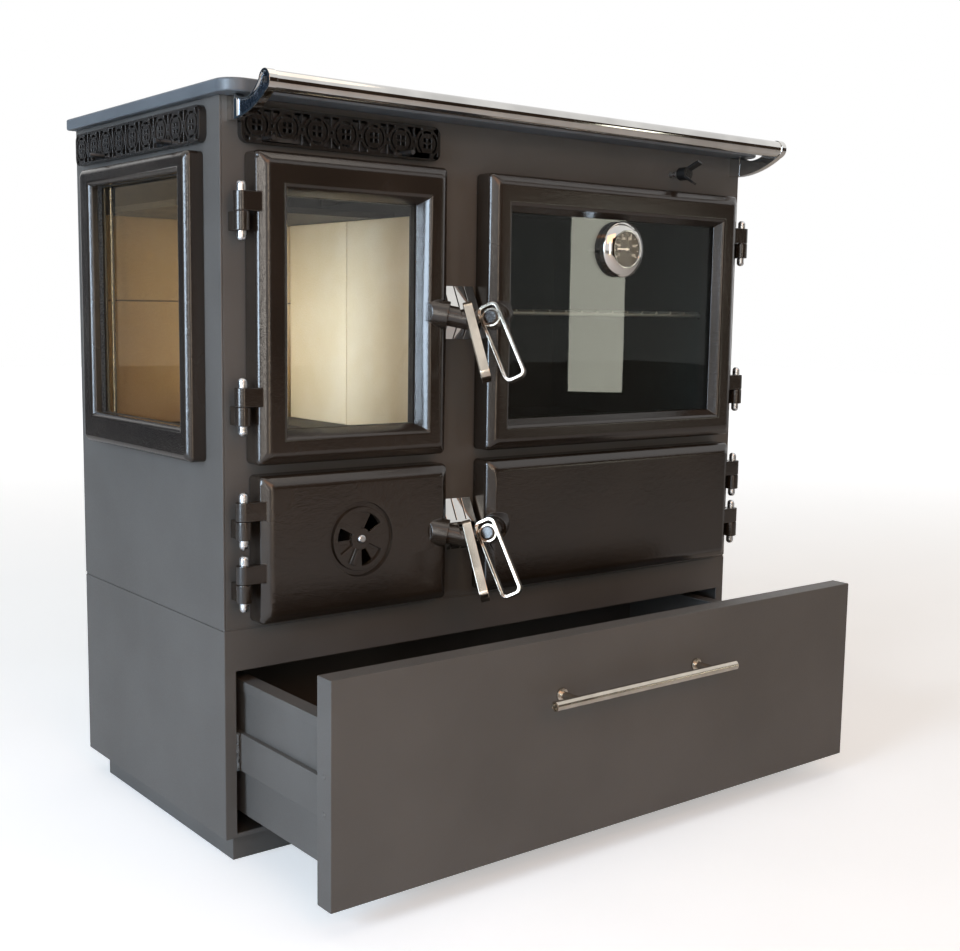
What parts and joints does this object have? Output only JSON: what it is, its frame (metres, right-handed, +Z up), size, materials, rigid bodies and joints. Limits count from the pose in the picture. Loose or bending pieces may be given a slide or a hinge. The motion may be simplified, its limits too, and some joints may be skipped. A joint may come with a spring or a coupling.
{
  "type": "solid fuel range cooker",
  "caption": "Free-standing wood-burning range cooker with a glazed firebox, an oven, cast doors, a handrail and a fuel drawer in its base.",
  "frame": {"origin": "on the floor, under the middle of the body's plan", "axes": "+Z up, +X to the right of someone facing the doors, -Y out of the doors"},
  "size_m": [0.8783, 0.7165, 0.8855],
  "materials": {
    "body_coat": "matt anthracite powder coat on sheet steel",
    "grille_coat": "anthracite paint on openwork castings",
    "door_enamel": "semi-gloss dark brown-black paint on cast iron",
    "knob_black": "matt black moulded knob",
    "chrome_plate": "polished chromium plate",
    "stainless": "polished stainless steel",
    "zinc_plate": "zinc plated steel",
    "shutter_steel": "plain steel plate with bright studs",
    "fire_glass_clear": "clear heat-resistant glass ceramic",
    "oven_glass_dark": "dark tinted heat-resistant glass",
    "inner_steel": "heat-resistant black painted steel",
    "oven_enamel": "dark grey vitreous enamel",
    "raw_casting": "plain blackened cast iron",
    "fire_brick": "pale sand coloured firebrick",
    "rope_seal": "dark grey glass fibre rope",
    "needle_paint": "dark painted pointer"
  },
  "bodies": {
    "range_body": {"plinth": "body_coat", "base_casing": "body_coat", "drawer_runners": "zinc_plate", "body_floor": "body_coat", "front_plate": "body_coat", "side_panel_left": "body_coat", "side_panel_right": "body_coat", "back_panel": "body_coat", "fire_partition": "inner_steel", "flue_spigot": "inner_steel", "hob_plate": "body_coat", "handrail": "chrome_plate", "rail_brackets": "chrome_plate", "fixed_knuckles": "door_enamel", "hinge_pins": "zinc_plate", "door_catches": "chrome_plate", "window_frame": "door_enamel", "window_gasket": "rope_seal", "window_glass": "fire_glass_clear", "window_rods": "zinc_plate", "front_grille": "grille_coat", "side_grille": "grille_coat", "ash_chamber": "inner_steel", "fire_grate": "raw_casting", "fire_bricks": "fire_brick", "fire_baffle": "inner_steel", "oven_box": "oven_enamel"},
    "drawer": {"drawer_front": "body_coat", "drawer_box": "body_coat", "drawer_slides": "zinc_plate", "drawer_handle": "stainless"},
    "fire_door_leaf": {"fire_door": "door_enamel", "fire_glass": "fire_glass_clear", "fire_glass_frame": "inner_steel", "fire_seal": "rope_seal", "fire_handle_cap": "door_enamel"},
    "fire_latch": {"fire_handle": "stainless"},
    "oven_door_leaf": {"oven_door": "door_enamel", "oven_glass": "oven_glass_dark", "oven_glass_frame": "inner_steel", "oven_seal": "rope_seal", "thermometer_case": "stainless", "oven_handle_cap": "door_enamel"},
    "oven_latch": {"oven_handle": "stainless"},
    "thermometer_hand": {"thermometer_needle": "needle_paint"},
    "ash_door_leaf": {"ash_door": "door_enamel", "rosette_screw": "zinc_plate", "ash_handle_cap": "door_enamel"},
    "ash_latch": {"ash_handle": "stainless"},
    "rosette": {"air_rosette": "door_enamel"},
    "store_door_leaf": {"store_door": "door_enamel", "store_handle_cap": "door_enamel"},
    "store_latch": {"store_handle": "stainless"},
    "front_air_shutter": {"front_shutter": "shutter_steel"},
    "side_air_shutter": {"side_shutter": "shutter_steel"},
    "damper": {"damper_spindle": "zinc_plate", "damper_knob": "knob_black"},
    "ash_tray": {"ash_pan": "inner_steel"},
    "shelf": {"oven_rack": "stainless"},
    "lid": {"hob_lid": "raw_casting"}
  },
  "joints": [
    {"name": "fire_door_hinge", "type": "hinge", "parent": "range_body", "child": "fire_door_leaf", "pos_m": [-0.406, -0.225, 0.6385], "axis": [0, 0, -1], "range_deg": [0, 120]},
    {"name": "oven_door_hinge", "type": "hinge", "parent": "range_body", "child": "oven_door_leaf", "pos_m": [0.406, -0.225, 0.6385], "axis": [0, 0, 1], "range_deg": [0, 120]},
    {"name": "ash_door_hinge", "type": "hinge", "parent": "range_body", "child": "ash_door_leaf", "pos_m": [-0.406, -0.225, 0.37], "axis": [0, 0, -1], "range_deg": [0, 120]},
    {"name": "store_door_hinge", "type": "hinge", "parent": "range_body", "child": "store_door_leaf", "pos_m": [0.406, -0.225, 0.37], "axis": [0, 0, 1], "range_deg": [0, 120]},
    {"name": "fire_handle_turn", "type": "hinge", "parent": "fire_door_leaf", "child": "fire_latch", "pos_m": [-0.1168, -0.25767, 0.63264], "axis": [-0.7899, 0.5599, -0.25], "range_deg": [0, 60]},
    {"name": "oven_handle_turn", "type": "hinge", "parent": "oven_door_leaf", "child": "oven_latch", "pos_m": [-0.0837, -0.25767, 0.63264], "axis": [-0.7899, -0.5599, 0.25], "range_deg": [0, 60]},
    {"name": "ash_handle_turn", "type": "hinge", "parent": "ash_door_leaf", "child": "ash_latch", "pos_m": [-0.1138, -0.25767, 0.36664], "axis": [-0.7899, 0.5599, -0.25], "range_deg": [0, 60]},
    {"name": "store_handle_turn", "type": "hinge", "parent": "store_door_leaf", "child": "store_latch", "pos_m": [-0.0832, -0.25767, 0.36664], "axis": [-0.7899, -0.5599, 0.25], "range_deg": [0, 60]},
    {"name": "drawer_slide", "type": "slide", "parent": "range_body", "child": "drawer", "axis": [0, -1, 0], "range_m": [-0.199, 0.1]},
    {"name": "rosette_turn", "type": "hinge", "parent": "ash_door_leaf", "child": "rosette", "pos_m": [-0.25875, -0.234, 0.3735], "axis": [0, -1, 0], "range_deg": [-30, 30]},
    {"name": "front_shutter_slide", "type": "slide", "parent": "range_body", "child": "front_air_shutter", "axis": [1, 0, 0], "range_m": [0, 0.036]},
    {"name": "side_shutter_slide", "type": "slide", "parent": "range_body", "child": "side_air_shutter", "axis": [0, 1, 0], "range_m": [0, 0.036]},
    {"name": "damper_turn", "type": "hinge", "parent": "range_body", "child": "damper", "pos_m": [0.278, -0.221, 0.8345], "axis": [0, -1, 0], "range_deg": [0, 90]},
    {"name": "thermometer_hand_turn", "type": "hinge", "parent": "oven_door_leaf", "child": "thermometer_hand", "pos_m": [0.15975, -0.243, 0.726], "axis": [0, 1, 0], "range_deg": [0, 240], "stiffness_Nm_per_rad": 0.0005},
    {"name": "ash_tray_slide", "type": "slide", "parent": "range_body", "child": "ash_tray", "axis": [0, -1, 0], "range_m": [-0.015, 0.01]},
    {"name": "shelf_slide", "type": "slide", "parent": "range_body", "child": "shelf", "axis": [0, -1, 0], "range_m": [-0.009, 0.018]},
    {"name": "lid_lift", "type": "slide", "parent": "range_body", "child": "lid", "axis": [0, 0, 1], "range_m": [0, 0.06]}
  ]
}
